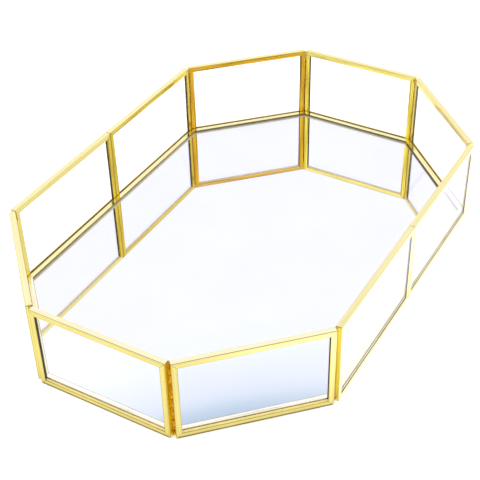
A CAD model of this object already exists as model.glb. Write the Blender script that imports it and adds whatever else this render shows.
import math
import random

import bmesh
import bpy
from mathutils import Matrix, Vector


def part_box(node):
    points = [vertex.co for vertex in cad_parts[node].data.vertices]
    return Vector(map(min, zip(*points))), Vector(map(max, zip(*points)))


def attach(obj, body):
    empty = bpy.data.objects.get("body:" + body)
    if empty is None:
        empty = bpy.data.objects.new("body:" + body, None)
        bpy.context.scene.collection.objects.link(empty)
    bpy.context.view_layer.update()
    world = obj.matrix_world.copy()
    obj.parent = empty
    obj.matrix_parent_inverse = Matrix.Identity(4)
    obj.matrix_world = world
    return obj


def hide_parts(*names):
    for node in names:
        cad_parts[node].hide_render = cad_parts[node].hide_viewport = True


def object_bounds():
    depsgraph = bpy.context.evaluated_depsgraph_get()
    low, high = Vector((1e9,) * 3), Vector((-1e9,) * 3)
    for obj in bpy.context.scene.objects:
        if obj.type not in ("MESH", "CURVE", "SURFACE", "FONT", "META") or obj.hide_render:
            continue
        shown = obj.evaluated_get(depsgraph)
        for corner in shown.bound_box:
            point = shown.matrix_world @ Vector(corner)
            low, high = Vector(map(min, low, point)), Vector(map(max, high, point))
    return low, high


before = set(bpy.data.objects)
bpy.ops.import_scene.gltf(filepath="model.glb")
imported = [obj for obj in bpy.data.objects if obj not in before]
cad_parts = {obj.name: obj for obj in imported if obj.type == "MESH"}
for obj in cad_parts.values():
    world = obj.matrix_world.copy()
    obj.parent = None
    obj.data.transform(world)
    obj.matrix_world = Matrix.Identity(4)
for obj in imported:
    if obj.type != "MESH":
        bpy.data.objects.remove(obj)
cad_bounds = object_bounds()
rng = random.Random(7)
MM = 0.001

# ---------------------------------------------------------------- sizes, all read from the frame
cad_low, cad_high = cad_bounds
TRAY_H = cad_high.z - cad_low.z
rail_low, rail_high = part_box("front_end_bottom_rail")
glass_low, glass_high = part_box("front_end_glass")
base_low, base_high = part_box("base_rail_front_end")
WALL_T = rail_high[0] - rail_low[0]
GLASS_T = glass_high[0] - glass_low[0]
SHEET = (WALL_T - GLASS_T) / 2
LAP = rail_high[2] - rail_low[2]
BASE_T = base_high[2] - base_low[2]
INNER_A = cad_high.x - WALL_T
INNER_B = cad_high.y - WALL_T
CORNER_CUT = INNER_B - rail_high[1]
solder_low, solder_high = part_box("corner_solder")

SIDES = (
    ("front_end", ("front_end",)),
    ("front_right_corner", ("front_right_corner",)),
    ("right", ("right_front", "right_back")),
    ("back_right_corner", ("back_right_corner",)),
    ("back_end", ("back_end",)),
    ("back_left_corner", ("back_left_corner",)),
    ("left", ("left_back", "left_front")),
    ("front_left_corner", ("front_left_corner",)),
)
STRIPS = ("bottom_rail", "right_post", "top_rail", "left_post")


def octagon(a, b, c):
    """Corners of the tray's outline, counter-clockwise from the left end of the front wall.

    a and b are half its length and width, and c is what is cut off each corner.
    """
    return [
        Vector(p)
        for p in (
            (a, c - b, 0), (a, b - c, 0), (a - c, b, 0), (c - a, b, 0),
            (-a, b - c, 0), (-a, c - b, 0), (c - a, -b, 0), (a - c, -b, 0),
        )
    ]


def floor_line(inset):
    """The walls' inner outline, moved in by a distance."""
    return octagon(INNER_A - inset, INNER_B - inset, CORNER_CUT - (2 - math.sqrt(2)) * inset)


CORNERS = floor_line(0)

# ---------------------------------------------------------------- material nodes

MIX_FAC, MIX_A, MIX_B, MIX_RESULT = 0, 6, 7, 2      # sockets of a Mix node that mixes colours


def set_stops(color_ramp, stops):
    """Gives a colour ramp its stops: pairs of a position and a colour."""
    elements = color_ramp.elements
    while len(elements) < len(stops):
        elements.new(0.5)
    for element, (pos, col) in zip(elements, stops):
        element.position = pos
        element.color = (*col, 1.0)


class Nodes:
    """Short calls for building one material's node tree."""

    def __init__(self, name):
        self.mat = bpy.data.materials.new(name)
        self.mat.use_nodes = True
        self.tree = self.mat.node_tree
        self.shader = self.tree.nodes["Principled BSDF"]

    def add(self, kind, **inputs):
        node = self.tree.nodes.new(kind)
        for key, value in inputs.items():
            socket = node.inputs[key.replace("_", " ")]
            if isinstance(value, bpy.types.NodeSocket):
                self.link(value, socket)
            else:
                socket.default_value = value
        return node

    def link(self, out, into):
        self.tree.links.new(out, into)

    def noise(self, coords, scale, detail=3.0):
        node = self.add("ShaderNodeTexNoise", Vector=coords, Scale=scale, Detail=detail, Roughness=0.55)
        return node.outputs["Fac"]

    def stretch(self, coords, scale):
        node = self.add("ShaderNodeMapping", Vector=coords, Scale=scale)
        return node.outputs["Vector"]

    def ramp(self, fac, stops):
        node = self.add("ShaderNodeValToRGB", Fac=fac)
        set_stops(node.color_ramp, stops)
        return node.outputs["Color"]

    def span(self, fac, low, high, start=0.0, stop=1.0):
        """Maps start-stop to low-high."""
        node = self.add("ShaderNodeMapRange", Value=fac)
        node.inputs["From Min"].default_value = start
        node.inputs["From Max"].default_value = stop
        node.inputs["To Min"].default_value = low
        node.inputs["To Max"].default_value = high
        return node.outputs["Result"]

    def mix(self, fac, a, b):
        node = self.tree.nodes.new("ShaderNodeMix")
        node.data_type = "RGBA"
        for number, value in ((MIX_FAC, fac), (MIX_A, a), (MIX_B, b)):
            socket = node.inputs[number]
            if isinstance(value, bpy.types.NodeSocket):
                self.link(value, socket)
            else:
                socket.default_value = value if isinstance(value, float) else (*value, 1.0)
        return node.outputs[MIX_RESULT]

    def bump(self, height, distance, strength=1.0, normal=None):
        node = self.add("ShaderNodeBump", Height=height)
        node.inputs["Distance"].default_value = distance
        node.inputs["Strength"].default_value = strength
        if normal is not None:
            self.link(normal, node.inputs["Normal"])
        return node.outputs["Normal"]

    def product(self, a, b):
        node = self.tree.nodes.new("ShaderNodeMath")
        node.operation = "MULTIPLY"
        self.link(a, node.inputs[0])
        self.link(b, node.inputs[1])
        return node.outputs[0]

    def set(self, **values):
        for key, value in values.items():
            socket = self.shader.inputs[key.replace("_", " ")]
            if isinstance(value, bpy.types.NodeSocket):
                self.link(value, socket)
            else:
                socket.default_value = value

    def uv(self):
        return self.tree.nodes.new("ShaderNodeUVMap").outputs["UV"]

    def object(self):
        return self.tree.nodes.new("ShaderNodeTexCoord").outputs["Object"]

    def attribute(self, name, output="Fac"):
        node = self.tree.nodes.new("ShaderNodeAttribute")
        node.attribute_name = name
        return node.outputs[output]

    def tinted(self, colour, by):
        """One colour multiplied by another."""
        node = self.tree.nodes.new("ShaderNodeMix")
        node.data_type = "RGBA"
        node.blend_type = "MULTIPLY"
        node.inputs[MIX_FAC].default_value = 1.0
        self.link(colour, node.inputs[MIX_A])
        self.link(by, node.inputs[MIX_B])
        return node.outputs[MIX_RESULT]


GOLD_GLANCE = (1.0, 0.80, 0.42, 1.0)    # colour of brass and solder seen at a glancing angle


def brass_material():
    """Polished, lacquered brass strip.

    It has rolling lines along it, faint smudges, browner metal near its soldered ends, and a thin
    tarnished line along each fold and free edge. The strips' vertices say how deep or pale the gold
    is, and "tint" multiplies it; where "pale" goes from 1 to 2 it turns to a whiter gold.
    """
    n = Nodes("polished_brass")
    uv = n.uv()
    lines = n.noise(n.stretch(uv, (60.0, 4200.0, 1.0)), 1.0, detail=4.0)
    smudge = n.noise(n.object(), 95.0, detail=4.0)
    streak = n.noise(n.stretch(uv, (14.0, 900.0, 1.0)), 1.0, detail=2.0)
    plain = n.ramp(streak, ((0.30, (0.56, 0.48, 0.12)), (0.70, (0.69, 0.60, 0.21))))
    pale = n.ramp(streak, ((0.30, (0.86, 0.79, 0.34)), (0.70, (0.95, 0.90, 0.48))))
    white = n.ramp(streak, ((0.30, (0.93, 0.89, 0.64)), (0.70, (0.98, 0.95, 0.78))))
    deep = n.ramp(streak, ((0.38, (0.50, 0.36, 0.01)), (0.60, (0.98, 0.84, 0.18))))
    paleness = n.attribute("pale")
    metal = n.mix(paleness, plain, pale)
    metal = n.mix(n.span(paleness, 0.0, 1.0, 1.0, 2.0), metal, white)
    metal = n.mix(n.attribute("deep"), metal, deep)
    metal = n.tinted(metal, n.attribute("tint", "Color"))
    tarnish = n.ramp(smudge, ((0.30, (0.48, 0.31, 0.05)), (0.72, (0.70, 0.52, 0.10))))
    metal = n.mix(n.attribute("heat"), metal, tarnish)
    line = n.product(n.span(smudge, 0.6, 1.0), n.attribute("edge_line"))
    n.set(Base_Color=n.mix(line, metal, (0.10, 0.05, 0.008)), Metallic=1.0)
    n.set(Roughness=n.span(smudge, 0.06, 0.17), Coat_Weight=0.35, Coat_Roughness=0.05)
    n.set(Specular_Tint=GOLD_GLANCE)
    soft = n.bump(n.noise(n.stretch(uv, (45.0, 260.0, 1.0)), 1.0, detail=2.0), 0.00016, 0.55)
    n.set(Normal=n.bump(lines, 0.00002, 0.45, soft))
    return n.mat


def inside_material(name, deep_down, at_lip, glow):
    """The dull inside of a strip, darker towards its fold.

    At its mouth it glows a little, for the light that a real pane's edge would throw on it.
    """
    n = Nodes(name)
    cloud = n.noise(n.object(), 300.0, detail=3.0)
    mouth = n.product(n.attribute("mouth"), n.span(cloud, 0.75, 1.15))
    n.set(Base_Color=n.mix(mouth, deep_down, at_lip), Roughness=n.span(cloud, 0.4, 0.7))
    n.set(Specular_IOR_Level=0.1)
    n.set(Emission_Color=n.mix(mouth, (0.0, 0.0, 0.0), at_lip), Emission_Strength=glow)
    return n.mat


def solder_material():
    """Gold-plated solder: glossy, lumpy, with a few duller spots."""
    n = Nodes("plated_solder")
    spots = n.noise(n.object(), 420.0, detail=2.0)
    gold = n.ramp(spots, ((0.35, (0.46, 0.24, 0.03)), (0.65, (0.78, 0.52, 0.12))))
    n.set(Base_Color=gold, Metallic=1.0, Roughness=n.span(spots, 0.15, 0.40))
    n.set(Specular_Tint=GOLD_GLANCE)
    n.set(Normal=n.bump(n.noise(n.object(), 700.0, detail=1.0), 0.0001, 0.3))
    return n.mat


def glass_material(name, tint, wave, sheen):
    """Clear float glass: a faint cool tint, a very shallow wave and slight wipe marks.

    sheen scales the brightness of its own reflections.
    """
    n = Nodes(name)
    wipe = n.noise(n.stretch(n.object(), (30.0, 30.0, 9.0)), 1.0, detail=4.0)
    n.set(Base_Color=n.mix(wipe, tint, (1.0, 1.0, 1.0)))
    n.set(Roughness=n.span(wipe, 0.0, 0.012), IOR=1.5, Transmission_Weight=1.0)
    n.set(Specular_Tint=(sheen, sheen, sheen, 1.0))
    n.set(Normal=n.bump(n.noise(n.object(), 14.0, detail=1.0), wave, 0.25))
    return n.mat


def ground_edge_material():
    """The panes' cut and seamed edges: finely ground glass."""
    n = Nodes("ground_glass_edge")
    grain = n.noise(n.object(), 2500.0, detail=2.0)
    n.set(Base_Color=n.ramp(grain, ((0.3, (0.55, 0.58, 0.50)), (0.7, (0.72, 0.76, 0.68)))))
    n.set(Roughness=n.span(grain, 0.15, 0.4), IOR=1.5, Transmission_Weight=1.0)
    n.set(Specular_Tint=(0.2, 0.2, 0.2, 1.0))
    return n.mat


def silver_material():
    """Silvering seen through the mirror's glass."""
    n = Nodes("silvering")
    cloud = n.noise(n.object(), 22.0, detail=3.0)
    n.set(Base_Color=n.ramp(cloud, ((0.35, (0.835, 0.870, 0.905)), (0.65, (0.855, 0.888, 0.920)))))
    n.set(Metallic=1.0, Roughness=n.span(cloud, 0.0, 0.015))
    return n.mat


def back_paint_material():
    """Grey protective paint on the mirror's back, rolled on and a little uneven."""
    n = Nodes("mirror_back_paint")
    mottle = n.noise(n.object(), 260.0, detail=6.0)
    n.set(Base_Color=n.ramp(mottle, ((0.35, (0.30, 0.31, 0.33)), (0.65, (0.38, 0.39, 0.41)))))
    n.set(Roughness=n.span(mottle, 0.45, 0.7))
    n.set(Normal=n.bump(mottle, 0.0001, 0.5))
    return n.mat


BRASS = brass_material()
RAIL_INSIDE = inside_material("raw_brass_in_rails", (0.06, 0.03, 0.005), (0.80, 0.66, 0.24), 0.75)
POST_INSIDE = inside_material("raw_brass_in_posts", (0.02, 0.009, 0.002), (0.06, 0.03, 0.008), 0.0)
TOP_INSIDE = inside_material("raw_brass_in_top_rails", (0.20, 0.15, 0.07), (0.55, 0.48, 0.35), 0.6)
RIGHT_INSIDE = inside_material("raw_brass_in_right_rails", (0.12, 0.08, 0.03), (0.92, 0.80, 0.50), 0.9)
BASE_INSIDE = inside_material("raw_brass_in_base", (0.17, 0.13, 0.04), (0.70, 0.62, 0.36), 0.7)
SOLDER = solder_material()
PANE_GLASS = glass_material("pane_glass", (0.985, 0.985, 0.997), 0.00004, 0.1)
MIRROR_GLASS = glass_material("mirror_glass", (0.99, 0.992, 0.998), 0.00001, 0.2)
GROUND_EDGE = ground_edge_material()
SILVER = silver_material()
BACK_PAINT = back_paint_material()

# ---------------------------------------------------------------- mesh helpers


def make_object(name, bm, materials, smooth_angle=None):
    mesh = bpy.data.meshes.new(name)
    bmesh.ops.recalc_face_normals(bm, faces=bm.faces)
    if smooth_angle is not None:
        for face in bm.faces:
            face.smooth = True
        for edge in bm.edges:
            if len(edge.link_faces) == 2 and edge.calc_face_angle() > smooth_angle:
                edge.smooth = False
    bm.to_mesh(mesh)
    bm.free()
    for material in materials:
        mesh.materials.append(material)
    piece = bpy.data.objects.new(name, mesh)
    bpy.context.scene.collection.objects.link(piece)
    return piece


def declare(piece, slot, *nodes):
    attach(piece, "root")
    if nodes:
        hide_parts(*nodes)


def arc(cx, cy, r, start, end, steps):
    """Points on an arc, angles in degrees."""
    angles = [math.radians(start + (end - start) * i / steps) for i in range(steps + 1)]
    return [(cx + r * math.cos(t), cy + r * math.sin(t)) for t in angles]


# ---------------------------------------------------------------- folded strips

FOLD_R = 0.42 * MM      # outside radius of a fold
FOLD_IN = 0.12 * MM     # inside radius of a fold
LIP_R = 0.1 * MM        # rounding of a strip's two free edges
CROWN = 0.05 * MM       # how far a flange bulges at the middle of its width
SEAT = 0.03 * MM        # how far the drawn strip stays inside the CAD strip
FOOT_R = 0.9 * MM       # rounding of a wall frame's two lower corners
CROWN_R = 0.3 * MM      # rounding of its two upper corners
MID_R = 0.05 * MM       # the same where two panes meet in a straight line
RUN_IN = 6.0 * MM       # length at each end over which a strip settles into its mitre
PINCH = 0.03 * MM       # size of the uneven waves in a strip's two flanges
HEAT_REACH = 2.2 * MM   # how fast the browner metal fades away from a joint
STATION = 3.0 * MM      # distance between cross-sections along a strip
# Distances of the cross-sections nearest to an end, where they stand closer.
NEAR_ENDS = (0.0, 0.2 * MM, 0.45 * MM, 0.8 * MM, 1.3 * MM, 2.2 * MM, 4.0 * MM)


def strip_outline(thick):
    """Closed outline of a folded strip: u across its thickness, v from its closed edge inwards.

    Also returns how strongly each point lies on a fold, which points lie on a free edge or inside,
    and which faces are inside.
    """
    half = thick / 2 - SEAT
    inner = half - SHEET
    fold = [0.0, 0.3, 1.0, 1.0, 0.3, 0.0]
    flat = half - FOLD_R - 0.12 * MM
    web = [(-flat, SEAT), (-flat * 0.4, SEAT), (flat * 0.4, SEAT), (flat, SEAT)]
    outside = arc(-half + FOLD_R, FOLD_R + SEAT, FOLD_R, 180, 270, 5) + web
    outside += arc(half - FOLD_R, FOLD_R + SEAT, FOLD_R, 270, 360, 5)
    face = [(0.16, 0.6), (0.30, 0.2), (0.50, 0.0), (0.70, 0.2), (0.90, 0.8)]
    right = [(half - CROWN * drop, LAP * v) for v, drop in face]
    lip_right = arc(half - LIP_R, LAP - LIP_R, LIP_R, 0, 90, 2)
    lip_right += [(inner, LAP)]
    inside = [(inner, LAP * 0.8), (inner, LAP * 0.6), (inner, SHEET + FOLD_IN * 2)]
    inside += arc(inner - FOLD_IN, SHEET + FOLD_IN, FOLD_IN, 0, -90, 2)
    inside += arc(-inner + FOLD_IN, SHEET + FOLD_IN, FOLD_IN, -90, -180, 2)
    inside += [(-inner, SHEET + FOLD_IN * 2), (-inner, LAP * 0.6), (-inner, LAP * 0.8)]
    lip_left = [(-inner, LAP)] + arc(-half + LIP_R, LAP - LIP_R, LIP_R, 90, 180, 2)
    left = [(-half + CROWN * drop, LAP * v) for v, drop in reversed(face)]
    points = outside + right + lip_right + inside + lip_left + left
    folds = fold + [0.0] * len(web) + fold
    folds += [0.0] * (len(points) - len(folds))
    lips = [0.0] * len(outside + right) + [1.0] * len(lip_right + inside + lip_left)
    lips += [0.0] * len(left)
    first_inside = len(outside + right + lip_right) - 1
    return points, folds, lips, range(first_inside, first_inside + len(inside) + 1)


def round_corner(s, v, radius):
    """Draws a point near a frame's square outer corner in, so that the corner is round."""
    ds, dv = radius - s, radius - v
    if radius <= 0 or ds <= 0 or dv <= 0:
        return s, v
    pull = max(ds, dv) / math.hypot(ds, dv)
    return radius - ds * pull, radius - dv * pull


def strip_mesh(length, thick, mitre, corner_radii, look, place):
    """A folded strip as a mesh. place(s, u, v) puts a point of it in the tray's frame.

    look is one of strip_look's. Where it has a pair of values, the first is for the u < 0 side or
    the start and the second for the u > 0 side or the end.
    """
    outline, folds, lips, hidden_faces = strip_outline(thick)
    steps = max(2, round((length - 2 * RUN_IN) / STATION))
    middle = [RUN_IN + (length - 2 * RUN_IN) * i / steps for i in range(steps + 1)]
    stations = list(NEAR_ENDS) + middle + [length - d for d in reversed(NEAR_ENDS)]
    phase = [rng.uniform(0, 2 * math.pi) for _ in range(5)]
    tilt = rng.uniform(-0.9, 0.9)

    def twist(s):
        wave = math.sin(s / (23 * MM) + phase[0]) + 0.5 * math.sin(s / (9 * MM) + phase[1])
        return math.radians(tilt + 0.5 * wave)

    def pinch(s, side):
        wave = math.sin(s / (14 * MM) + phase[2 + side]) + 0.6 * math.sin(s / (5 * MM) + phase[4])
        return PINCH * wave

    bm = bmesh.new()
    uv_layer = bm.loops.layers.uv.new("strip")
    heat_layer = bm.verts.layers.float.new("heat")
    line_layer = bm.verts.layers.float.new("edge_line")
    deep_layer = bm.verts.layers.float.new("deep")
    pale_layer = bm.verts.layers.float.new("pale")
    mouth_layer = bm.verts.layers.float.new("mouth")
    tint_layer = bm.verts.layers.float_color.new("tint")
    around = [0.0]      # distance round the outline, for the texture
    for a, b in zip(outline, outline[1:] + outline[:1]):
        around.append(around[-1] + math.hypot(b[0] - a[0], b[1] - a[1]))
    rings = []
    for station in stations:
        end = 0 if station < length / 2 else 1
        near = min(station, length - station)
        lean = max(0.0, 1 - near / RUN_IN) * mitre
        settle = min(1.0, near / RUN_IN)
        angle = twist(station) * settle
        ring = []
        for (u, v), fold, lip in zip(outline, folds, lips):
            on_inward_face = u > thick * 0.45
            at_edge = v < FOLD_R / 2
            shift = v * lean + look["gaps"][end] * max(0.0, 1 - near / MM)
            s = station + shift if end == 0 else station - shift
            side = 0 if u < 0 else 1
            u2 = u + pinch(station, side) * settle * v / LAP
            if on_inward_face:
                u2 -= look["sink"] * v / LAP
            dip = look["slant"] * (0.5 + u / thick) * max(0.0, 1 - v / LAP / 0.4)
            u3 = u2 * math.cos(angle) - (v - LAP / 2) * math.sin(angle)
            v3 = LAP / 2 + u2 * math.sin(angle) + (v - LAP / 2) * math.cos(angle) + dip
            if s < length / 2:
                s, v3 = round_corner(s, v3, corner_radii[0])
            else:
                back, v3 = round_corner(length - s, v3, corner_radii[1])
                s = length - back
            vert = bm.verts.new(place(s, u3, v3))
            vert[heat_layer] = math.exp(-near / HEAT_REACH)
            joint = 0.8 * math.exp(-near / look["joints"][end])
            foot = look["foot"] if u < -thick * 0.3 and v < LAP * 0.31 else 0.0
            vert[line_layer] = max(fold * look["fold"][side], lip * look["lip"][side], joint, foot)
            start, stop = look["mouth"][side]
            vert[mouth_layer] = min(1.0, max(0.0, (v / LAP - start) / (stop - start)))
            deep_out = look["deep_edge"] if at_edge else 0.0
            vert[deep_layer] = look["deep"] if on_inward_face else deep_out
            tint = look["tint"] if on_inward_face else NO_TINT
            vert[tint_layer] = (*tint, 1.0)
            pale = look["pale_face"] if on_inward_face else look["pale_out"]
            vert[pale_layer] = look["pale_edge"] if at_edge else pale
            ring.append(vert)
        rings.append(ring)
    count = len(outline)
    for k in range(len(rings) - 1):
        for j in range(count):
            j2 = (j + 1) % count
            face = bm.faces.new((rings[k][j], rings[k][j2], rings[k + 1][j2], rings[k + 1][j]))
            face.material_index = 1 if j in hidden_faces else 0
            corners = ((k, around[j]), (k, around[j + 1]), (k + 1, around[j + 1]), (k + 1, around[j]))
            for loop, (station_no, across) in zip(face.loops, corners):
                loop[uv_layer].uv = (stations[station_no], across)
    for ring in (rings[0], list(reversed(rings[-1]))):
        bm.faces.new(ring)
    return bm


def along(start, end):
    return (end - start).normalized()


def side_frame(i):
    """Start corner, direction along side i and direction into the tray."""
    start, end = CORNERS[i], CORNERS[(i + 1) % 8]
    run = along(start, end)
    return start, run, Vector((-run.y, run.x, 0)), (end - start).length


# fold, lip: strength of the tarnished line. mouth: where the inside turns from dark to lit, as
# shares of the lap. foot: dirt along the foot of the outward face. deep, pale_face, tint: colour of
# the u > 0 face. deep_edge, pale_edge, pale_out: that of the closed edge and of the outward face.
# sink: how far the u > 0 face dips at its free edge. slant: how far the closed edge dips on its
# u > 0 side. gaps, joints: width of the gap and of the dark line at each end.
UNLIT = (2.0, 3.0)
NO_TINT = (1.0, 1.0, 1.0)
PLAIN_LOOK = {
    "fold": (0.6, 0.6), "lip": (0.7, 0.7), "mouth": (UNLIT, UNLIT), "foot": 0.0,
    "deep": 1.0, "deep_edge": 0.3, "tint": NO_TINT, "pale_edge": 0.0, "sink": 0.0, "slant": 0.0,
}
STRIP_LOOKS = {
    "bottom_rail": {
        "fold": (1.0, 0.5), "lip": (0.1, 1.0), "foot": 1.0, "mouth": ((0.8, 1.0), (0.0, 0.4)),
    },
    "top_rail": {
        "fold": (0.5, 0.3), "lip": (0.4, 0.4), "mouth": ((0.0, 0.6), (0.0, 0.6)), "deep_edge": 0.0,
    },
    "base_rail": {
        "fold": (0.6, 0.3), "lip": (1.0, 1.0), "mouth": (UNLIT, (0.1, 1.0)), "deep": 0.0,
        "deep_edge": 0.0, "sink": 0.16 * MM,
    },
}
# How deep in colour each pane's inward faces are, and those of single strips that differ from it.
DEEP = {"left_front": 0.0, "front_left_corner": 0.0, "back_right_corner": 0.15, "left_back": 0.7}
DEEP_STRIPS = {
    ("left_front", "left_post"): 0.95, ("left_back", "right_post"): 0.95,
    ("left_back", "left_post"): 0.7, ("back_end", "top_rail"): 0.6,
}
# Top rails' closed edges, and outward faces, that are paler or less pale than the rest.
PALE_EDGE = {
    "front_end": 1.25, "front_right_corner": 1.25, "right_front": 0.8, "right_back": 0.8,
    "back_right_corner": 0.8, "left_front": 0.9,
}
PALE_OUT = {"right_front": 1.6, "right_back": 1.6}
# Base rails' top faces and inward faces that are whiter than the rest.
PALE_FACE = {
    ("front_end", "base_rail"): 2.0, ("front_right_corner", "base_rail"): 2.0,
    ("front_left_corner", "base_rail"): 1.6, ("front_left_corner", "top_rail"): 1.4,
    ("front_left_corner", "left_post"): 1.4, ("front_left_corner", "right_post"): 1.4,
    ("front_left_corner", "bottom_rail"): 1.4, ("left_front", "top_rail"): 1.6,
}
# Top rails whose closed edge slants.
SLANT = {"front_end": 0.15 * MM, "front_right_corner": 0.15 * MM}
# Colour that multiplies the brass of four panes' inward faces. It stands for tarnish and for warm
# light that this studio doesn't have.
TINT = {
    "left_front": (0.99, 0.87, 0.48), "left_back": (0.99, 0.87, 0.48),
    "back_left_corner": (1.0, 0.69, 0.23), "back_end": (1.0, 0.964, 0.81),
}
# The two joints left open or dirty: gaps and dark lines at the strip's start and end.
WORN_JOINTS = {
    ("front_left_corner", "top_rail"): ((0.3 * MM, 0.03 * MM), (0.6 * MM, 0.1 * MM)),
    ("back_end", "base_rail"): ((0.03 * MM, 0.03 * MM), (0.1 * MM, 0.9 * MM)),
}

# Strips that differ in other ways: the groove at the front right corner is a deeper gold, the right
# wall's bottom rails are darker inside and at their lips, and one base strip has a darker fold and
# one a darker inside.
ODD_LOOKS = {
    ("front_end", "right_post"): {"deep_edge": 1.0},
    ("front_right_corner", "left_post"): {"deep_edge": 1.0},
    ("right_front", "bottom_rail"): {"mouth": (UNLIT, (0.6, 0.8)), "lip": (1.0, 1.0), "foot": 0.3},
    ("right_back", "bottom_rail"): {"mouth": (UNLIT, (0.6, 0.8)), "lip": (1.0, 1.0), "foot": 0.3},
    ("right", "base_rail"): {"fold": (0.6, 1.0)},
    ("back_right_corner", "base_rail"): {"mouth": (UNLIT, (0.7, 1.3))},
}


def strip_look(pane, strip):
    """How one strip is finished; every hand-made joint is a little different."""
    look = dict(PLAIN_LOOK, **STRIP_LOOKS.get(strip, {}))
    if strip != "base_rail":
        look["deep"] = DEEP_STRIPS.get((pane, strip), DEEP.get(pane, 1.0))
        look["tint"] = TINT.get(pane, NO_TINT)
    if strip == "top_rail":
        look["pale_edge"] = PALE_EDGE.get(pane, 1.0)
        look["slant"] = SLANT.get(pane, 0.0)
    look["pale_face"] = PALE_FACE.get((pane, strip), 1.0)
    look["pale_out"] = PALE_OUT.get(pane, 0.0)
    look.update(ODD_LOOKS.get((pane, strip), {}))
    look["gaps"] = (rng.uniform(0.01, 0.05) * MM, rng.uniform(0.01, 0.05) * MM)
    look["joints"] = (rng.uniform(0.05, 0.16) * MM, rng.uniform(0.05, 0.16) * MM)
    if (pane, strip) in WORN_JOINTS:
        look["gaps"], look["joints"] = WORN_JOINTS[pane, strip]
    return look


UP = Vector((0, 0, 1))
FOLD_ANGLE = math.radians(40)   # edges sharper than this stay sharp when a strip is shaded smooth
MITRE_BASE = math.tan(math.radians(22.5))


def channel_inside(strip, side):
    """Material of the inside of a wall's strip."""
    if strip == "top_rail":
        return TOP_INSIDE
    if strip == "bottom_rail":
        return RIGHT_INSIDE if side == "right" else RAIL_INSIDE
    return POST_INSIDE


def wall_frame(i, p, pane):
    """The four strips and the glass of one wall pane."""
    start, run, inward, length = side_frame(i)
    count = len(SIDES[i][1])
    width = length / count
    origin = start + run * width * p - inward * WALL_T / 2
    points = (
        origin, origin + run * width, origin + run * width + UP * TRAY_H, origin + UP * TRAY_H,
    )
    start_top = CROWN_R if p == 0 else MID_R
    end_top = CROWN_R if p == count - 1 else MID_R
    corner_radii = (FOOT_R, FOOT_R, end_top, start_top)
    for k, strip in enumerate(STRIPS):
        a, b, before = points[k], points[(k + 1) % 4], points[(k + 3) % 4]
        e, depth = along(a, b), along(a, before)

        def place(s, u, v, a=a, e=e, depth=depth):
            return a + e * s + depth * v + inward * u

        radii = [corner_radii[k], corner_radii[(k + 1) % 4]]
        bm = strip_mesh((b - a).length, WALL_T, 1.0, radii, strip_look(pane, strip), place)
        materials = [BRASS, channel_inside(strip, SIDES[i][0])]
        piece = make_object(f"{pane}.{strip}", bm, materials, FOLD_ANGLE)
        declare(piece, "brass", f"{pane}_{strip}")
    glass_piece(pane, origin, run, inward, width)


CLEARANCE = 0.04 * MM
ARRIS = 0.25 * MM


def glass_piece(pane, origin, run, inward, width):
    """One clear pane with its sharp edges taken off."""
    edge = SHEET + CLEARANCE
    half_t = GLASS_T / 2 - CLEARANCE
    bm = bmesh.new()
    bmesh.ops.create_cube(bm, size=1.0)
    size = (width - 2 * edge, 2 * half_t, TRAY_H - 2 * edge)
    bmesh.ops.scale(bm, vec=size, verts=bm.verts)
    bmesh.ops.bevel(bm, geom=bm.edges[:], offset=ARRIS, segments=1, affect="EDGES")
    for face in bm.faces:
        face.material_index = 0 if abs(face.normal.y) > 0.9 else 1
    centre = origin + run * width / 2 + UP * TRAY_H / 2
    axes = Matrix((run, inward, UP)).transposed().to_4x4()
    bmesh.ops.transform(bm, matrix=Matrix.Translation(centre) @ axes, verts=bm.verts)
    piece = make_object(f"{pane}.glass", bm, [PANE_GLASS, GROUND_EDGE])
    clear_to_light(piece)
    declare(piece, "clear_glass", f"{pane}_glass")


def clear_to_light(piece):
    """Glass lets the studio light through to what is behind it, with no false shadow."""
    piece.visible_shadow = False
    piece.visible_diffuse = False


def base_strip(i):
    start, run, inward, length = side_frame(i)

    def place(s, u, v):
        return start + run * s + inward * v + UP * (BASE_T / 2 + u)

    name = SIDES[i][0]
    look = strip_look(name, "base_rail")
    bm = strip_mesh(length, BASE_T, MITRE_BASE, (0.0, 0.0), look, place)
    piece = make_object(f"base_rail.{name}", bm, [BRASS, BASE_INSIDE], FOLD_ANGLE)
    declare(piece, "brass", f"base_rail_{name}")


# ---------------------------------------------------------------- mirror floor

PAINT_T = 0.12 * MM


def slab(inset, low, high):
    """Eight-sided plate between two heights."""
    bm = bmesh.new()
    rings = [[bm.verts.new(p + UP * z) for p in floor_line(inset)] for z in (low, high)]
    bm.faces.new(list(reversed(rings[0])))
    bm.faces.new(rings[1])
    for j in range(8):
        j2 = (j + 1) % 8
        bm.faces.new((rings[0][j], rings[0][j2], rings[1][j2], rings[1][j]))
    return bm


def mirror_floor():
    """Glass plate whose lower face is silvered, and the paint that protects the silvering."""
    low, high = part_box("mirror_plate")
    edge = SHEET + CLEARANCE
    bm = slab(edge, low[2] + PAINT_T, high[2] - CLEARANCE)
    bmesh.ops.bevel(bm, geom=bm.edges[:], offset=ARRIS, segments=1, affect="EDGES")
    bm.normal_update()
    for face in bm.faces:
        if face.normal.z < -0.9:
            face.material_index = 1
        elif face.normal.z < 0.9:
            face.material_index = 2
    plate = make_object("mirror_glass", bm, [MIRROR_GLASS, SILVER, GROUND_EDGE])
    plate.visible_diffuse = False
    declare(plate, "mirror", "mirror_plate")
    paint = make_object(
        "mirror_back", slab(edge + ARRIS, low[2], low[2] + PAINT_T * 0.8), [BACK_PAINT]
    )
    paint.visible_diffuse = False
    declare(paint, "mirror")


# ---------------------------------------------------------------- solder


BLOB = 1.9 * MM         # how much further out the solder reaches at the foot of each groove
BLOB_H = 1.3 * MM       # height over which that fades
SAG = 0.5 * MM          # how far the solder runs down below the CAD bar


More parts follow.
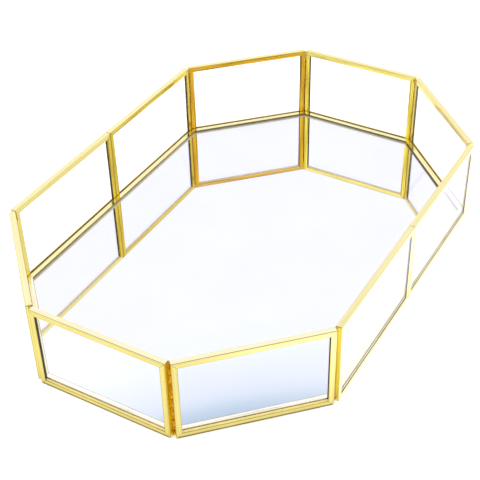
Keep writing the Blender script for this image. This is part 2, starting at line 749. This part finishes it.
def solder_bead(bm, i):
    """Solder run down the open groove at corner i: smooth on one side, ragged on the other."""
    inward, inward_before = side_frame(i)[2], side_frame((i + 7) % 8)[2]
    webs = (-inward_before, -inward)
    phase = [rng.uniform(0, 2 * math.pi) for _ in range(4)]
    low, high = solder_low[2] - SAG, solder_high[2]
    steps = 70
    rings = []
    for k in range(steps + 1):
        z = low + (high - low) * k / steps
        lump = math.sin(z / (1.3 * MM) + phase[0]) * math.sin(z / (4.1 * MM) + phase[1])
        slow = math.sin(z / (9 * MM) + phase[2])
        end = min(1.0, min(k, steps - k) / 3)
        depth = (0.9 + 0.12 * slow) * MM * (0.35 + 0.65 * end)
        depth += BLOB * math.exp(-((z - low) / BLOB_H) ** 2)
        ragged = 0.75 + 0.22 * lump + 0.1 * math.sin(z / (0.6 * MM) + phase[3])
        ring = [bm.verts.new(CORNERS[i] + UP * z)]
        for t in (0.0, 0.25, 0.5, 0.75, 1.0):
            across = webs[0] * (1 - t) + webs[1] * t
            reach = depth * (1 - t + t * ragged) * (1 - 0.35 * (1 - (2 * t - 1) ** 2))
            ring.append(bm.verts.new(CORNERS[i] + across * reach + UP * z))
        rings.append(ring)
    close_rings(bm, rings)


def close_rings(bm, rings):
    """Joins rings of points into one closed skin."""
    count = len(rings[0])
    for one, two in zip(rings, rings[1:]):
        for j in range(count):
            j2 = (j + 1) % count
            bm.faces.new((one[j], one[j2], two[j2], two[j]))
    bm.faces.new(list(reversed(rings[0])))
    bm.faces.new(rings[-1])


def solder_tack(bm, at, arms, normals, height, top):
    """Thin uneven patch of solder over the joint between two posts' inner laps, at their top.

    arms are the two directions away from the joint, and normals the way each lap faces.
    """
    phase = [rng.uniform(0, 2 * math.pi) for _ in range(4)]
    half_w = rng.uniform(0.7, 1.3) * MM
    steps, across_steps = 14, 8
    bend = (normals[0] + normals[1]).normalized()
    rings = []
    for k in range(steps + 1):
        f = k / steps
        z = top - height * (1 - f)
        swell = math.sqrt(max(0.02, 1 - (2 * f - 1) ** 2))
        edge = half_w * swell * (1 + 0.25 * math.sin(5 * f + phase[0]))
        front, back = [], []
        for j in range(across_steps + 1):
            t = 2 * j / across_steps - 1
            arm = 0 if t < 0 else 1
            normal = bend if abs(t) < 0.01 else normals[arm]
            crown = (1 - t * t) * swell * (0.14 + 0.05 * math.sin(7 * f + 3 * t + phase[1])) * MM
            spot = at + arms[arm] * edge * abs(t) + UP * z
            front.append(bm.verts.new(spot + normal * crown))
            back.append(bm.verts.new(spot - normal * 0.1 * MM))
        rings.append(front + list(reversed(back)))
    close_rings(bm, rings)


def solder():
    bm = bmesh.new()
    for i in range(8):
        solder_bead(bm, i)
        _, run, inward, _ = side_frame(i)
        _, run_before, inward_before, _ = side_frame((i + 7) % 8)
        height = rng.uniform(3.0, 7.0) * MM
        arms, normals = (-run_before, run), (inward_before, inward)
        solder_tack(bm, CORNERS[i], arms, normals, height, TRAY_H - 0.5 * MM)
    piece = make_object("corner_beads", bm, [SOLDER], math.radians(50))
    declare(piece, "solder", "corner_solder")


# ---------------------------------------------------------------- build

for side_no, (side, panes) in enumerate(SIDES):
    for pane_no, pane_name in enumerate(panes):
        wall_frame(side_no, pane_no, pane_name)
    base_strip(side_no)
mirror_floor()
solder()

# ---------------------------------------------------------------- studio

CAMERA_AT = Vector((434.9, 249.5, 396.1)) * MM
LOOK = Vector((-0.6784, -0.4011, -0.6155))
CAMERA_RIGHT = Vector((-0.4958, 0.8682, -0.0193))
LENS = 80.8
SENSOR = 36.0
LAMP_H = 1.4            # metres above the table
LAMP_SIZE = 1.4
LAMP_POWER = 6.0
SKY_STRENGTH = 1.2
# Colour of the surroundings by height. Height is 0 at the horizon and about 1 overhead, and leans a
# little; the white ends at a soft edge.
HEIGHT_AXIS = (-0.054, 0.090, 1.0)
EDGE_START, EDGE_END = 0.66, 0.70
SKY_STOPS = (
    (0.000, (0.96, 0.96, 0.96)), (0.660, (0.96, 0.96, 0.98)), (0.690, (0.94, 0.94, 1.00)),
    (0.702, (0.88, 0.89, 0.99)), (0.712, (0.83, 0.85, 0.90)), (0.717, (0.79, 0.81, 0.91)),
    (0.722, (0.72, 0.77, 0.88)), (0.727, (0.58, 0.67, 0.79)), (0.733, (0.47, 0.57, 0.71)),
    (0.770, (0.24, 0.26, 0.30)), (0.830, (0.13, 0.14, 0.16)), (0.900, (0.20, 0.21, 0.23)),
    (1.000, (0.34, 0.35, 0.38)),
)
# Lit screens: azimuth, elevation, outer and inner radius in degrees, and colour. The back screen is
# cut off at the soft edge.
SCREENS = (
    ((163, 50, 32, 16), (0.92, 0.90, 0.92)),
    ((329, 35, 40, 20), (1.15, 1.12, 1.05)),
    ((152, 38, 24, 10), (0.93, 0.92, 0.90)),
    ((35, 35, 34, 16), (0.94, 0.93, 0.92)),
)
BACK_SCREEN = ((213, 25, 62, 34), (0.96, 0.93, 1.10))


def studio_floor():
    """Back-lit white table, brighter beyond the tray's right side to light that side's outer faces."""
    bm = bmesh.new()
    bmesh.ops.create_grid(bm, x_segments=8, y_segments=8, size=3.0)
    for vert in bm.verts:
        vert.co.z = cad_low.z - 0.05 * MM
    n = Nodes("lit_table")
    mottle = n.noise(n.object(), 3.0, detail=2.0)
    white = n.ramp(mottle, ((0.3, (0.92, 0.92, 0.92)), (0.7, (0.94, 0.94, 0.94))))
    n.set(Base_Color=white, Roughness=0.8, Specular_IOR_Level=0.2)
    place = n.add("ShaderNodeSeparateXYZ", Vector=n.object())
    beyond = n.span(place.outputs["Y"], 0.0, 1.0, cad_high.y - 10 * MM, cad_high.y + 50 * MM)
    n.set(Emission_Color=n.mix(beyond, (0.45, 0.45, 0.46), (1.3, 1.3, 2.0)), Emission_Strength=1.0)
    floor = make_object("studio_floor", bm, [n.mat])


def studio_world():
    """White surroundings up to a soft edge overhead, cooler and dimmer above it, with lit screens."""
    world = bpy.data.worlds.new("studio")
    world.use_nodes = True
    bpy.context.scene.world = world
    tree = world.node_tree
    background = tree.nodes["Background"]
    direction = tree.nodes.new("ShaderNodeTexCoord").outputs["Generated"]

    def put(value, socket):
        if isinstance(value, bpy.types.NodeSocket):
            tree.links.new(value, socket)
        else:
            socket.default_value = value

    def product(a, b):
        node = tree.nodes.new("ShaderNodeMath")
        node.operation = "MULTIPLY"
        put(a, node.inputs[0])
        put(b, node.inputs[1])
        return node.outputs[0]

    def screen(azimuth, elevation, outer, inner):
        """1 within inner degrees of a direction, falling to 0 at outer degrees."""
        az, el = math.radians(azimuth), math.radians(elevation)
        axis = (math.cos(az) * math.cos(el), math.sin(az) * math.cos(el), math.sin(el))
        dot = tree.nodes.new("ShaderNodeVectorMath")
        dot.operation = "DOT_PRODUCT"
        put(direction, dot.inputs[0])
        put(axis, dot.inputs[1])
        ease = tree.nodes.new("ShaderNodeMapRange")
        ease.interpolation_type = "SMOOTHSTEP"
        put(dot.outputs["Value"], ease.inputs["Value"])
        put(math.cos(math.radians(outer)), ease.inputs["From Min"])
        put(math.cos(math.radians(inner)), ease.inputs["From Max"])
        return ease.outputs["Result"]

    def tint(fac, a, b):
        node = tree.nodes.new("ShaderNodeMix")
        node.data_type = "RGBA"
        node.clamp_result = False
        put(fac, node.inputs[MIX_FAC])
        put(a if isinstance(a, bpy.types.NodeSocket) else (*a, 1.0), node.inputs[MIX_A])
        put((*b, 1.0), node.inputs[MIX_B])
        return node.outputs[MIX_RESULT]

    slope = tree.nodes.new("ShaderNodeVectorMath")
    slope.operation = "DOT_PRODUCT"
    put(direction, slope.inputs[0])
    put(HEIGHT_AXIS, slope.inputs[1])
    height = slope.outputs["Value"]
    ramp = tree.nodes.new("ShaderNodeValToRGB")
    put(height, ramp.inputs["Fac"])
    set_stops(ramp.color_ramp, SKY_STOPS)
    low = tree.nodes.new("ShaderNodeMapRange")
    low.interpolation_type = "SMOOTHSTEP"
    put(height, low.inputs["Value"])
    put(EDGE_START, low.inputs["From Min"])
    put(EDGE_END, low.inputs["From Max"])
    put(1.0, low.inputs["To Min"])
    put(0.0, low.inputs["To Max"])
    below_edge = low.outputs["Result"]
    sky = ramp.outputs["Color"]
    for spot, colour in SCREENS:
        sky = tint(screen(*spot), sky, colour)
    spot, colour = BACK_SCREEN
    sky = tint(product(screen(*spot), below_edge), sky, colour)
    put(sky, background.inputs["Color"])
    put(SKY_STRENGTH, background.inputs["Strength"])


def overhead_light():
    """A wide soft lamp that shines straight down and shows in no reflection."""
    light = bpy.data.lights.new("overhead", "AREA")
    light.shape = "SQUARE"
    light.size = LAMP_SIZE
    light.energy = LAMP_POWER
    lamp = bpy.data.objects.new("overhead", light)
    lamp.location = UP * LAMP_H
    lamp.visible_glossy = False
    lamp.visible_transmission = False
    bpy.context.scene.collection.objects.link(lamp)


def camera():
    data = bpy.data.cameras.new("camera")
    data.lens = LENS
    data.sensor_width = SENSOR
    data.clip_start = 0.01
    data.clip_end = 20.0
    cam = bpy.data.objects.new("camera", data)
    back = -LOOK
    up = back.cross(CAMERA_RIGHT)
    cam.matrix_world = Matrix((CAMERA_RIGHT, up, back)).transposed().to_4x4()
    cam.location = CAMERA_AT
    bpy.context.scene.collection.objects.link(cam)
    bpy.context.scene.camera = cam


studio_floor()
studio_world()
overhead_light()
camera()
bpy.context.scene.view_settings.view_transform = "Standard"
